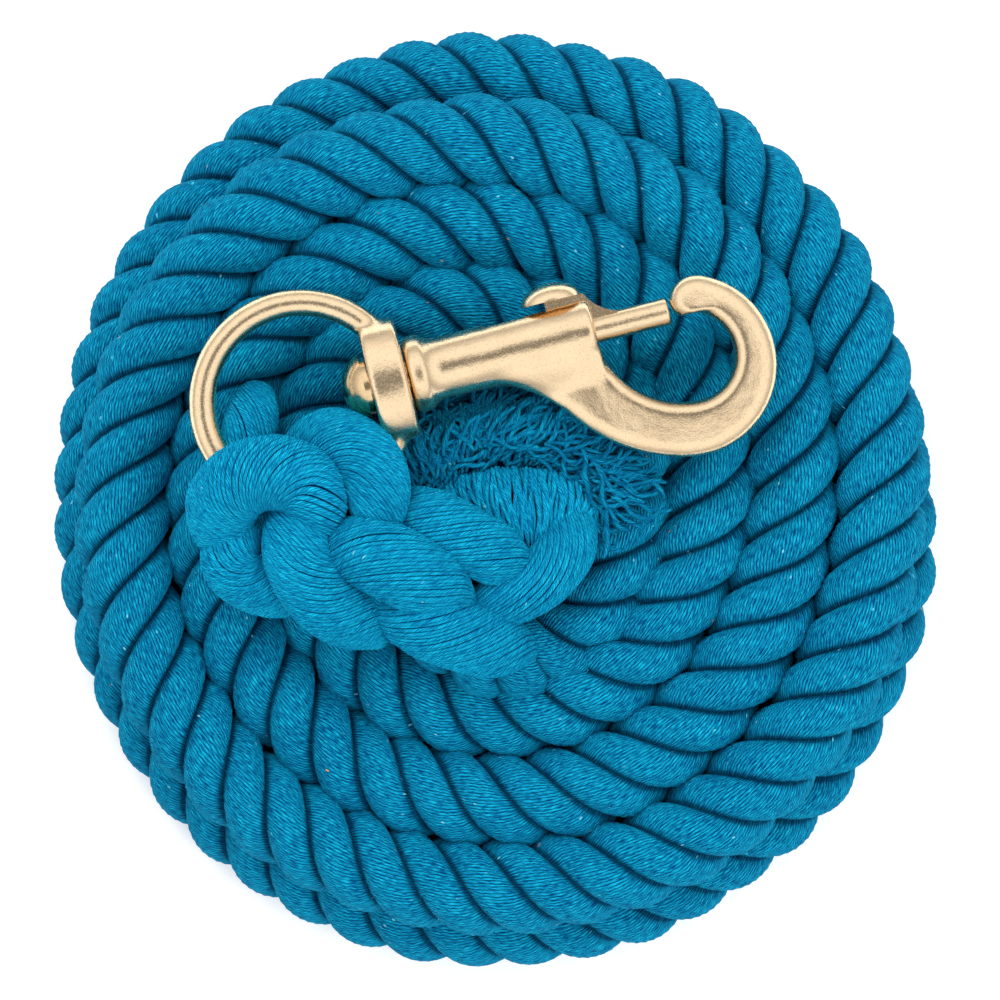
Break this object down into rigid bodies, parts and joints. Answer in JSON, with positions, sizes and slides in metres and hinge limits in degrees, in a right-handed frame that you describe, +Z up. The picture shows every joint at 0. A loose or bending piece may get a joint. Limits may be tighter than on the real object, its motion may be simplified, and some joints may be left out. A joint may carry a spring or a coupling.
{
  "type": "horse lead rope with bolt snap",
  "caption": "Coiled three-strand cotton lead rope spliced round the ring of a brass swivel bolt snap with a spring-loaded thumb bolt.",
  "frame": {"origin": "middle of the coil's underside, on the surface that the coil lies on", "axes": "+Z up out of the coil, +X from the spliced eye towards the snap's hook, +Y from the splice towards the snap"},
  "size_m": [0.156, 0.1644, 0.0548],
  "materials": {
    "rope_cotton": "matte, right-hand laid cotton, turquoise blue",
    "cast_brass": "satin, tumbled casting, lightly speckled",
    "brass_rivet": "satin, peened",
    "spring_steel": "plain drawn wire"
  },
  "bodies": {
    "rope": {"rope_coil": "rope_cotton", "rope_end_knot": "rope_cotton", "splice_core": "rope_cotton", "crown_strand_over": "rope_cotton", "crown_strand_left": "rope_cotton", "crown_strand_front": "rope_cotton", "eye_bight": "rope_cotton", "tuck_strand_ring": "rope_cotton", "tuck_strand_top": "rope_cotton", "tuck_strand_inner": "rope_cotton", "tuck_strand_outer": "rope_cotton", "tuck_strand_tail": "rope_cotton", "tail_tuft": "rope_cotton", "tail_brush": "rope_cotton"},
    "eye": {"swivel_eye": "cast_brass"},
    "snap": {"snap_body": "cast_brass", "swivel_rivet": "brass_rivet", "swivel_washer": "brass_rivet", "bolt_spring": "spring_steel"},
    "bolt": {"bolt": "cast_brass", "thumb_button": "cast_brass"}
  },
  "joints": [
    {"name": "eye_lift", "type": "hinge", "parent": "rope", "child": "eye", "pos_m": [-0.03373, 0.00688, 0.0415], "axis": [1, 0, 0], "range_deg": [0, 60]},
    {"name": "swivel", "type": "hinge", "parent": "eye", "child": "snap", "pos_m": [-0.0184, 0.0208, 0.0415], "axis": [-0.9703, -0.2419, 0], "range_deg": [0, 180]},
    {"name": "bolt_slide", "type": "slide", "parent": "snap", "child": "bolt", "axis": [-0.9703, -0.2419, 0], "range_m": [0, 0.011], "stiffness_N_per_m": 300, "springref_m": -0.008, "deforming": ["bolt_spring"]}
  ]
}
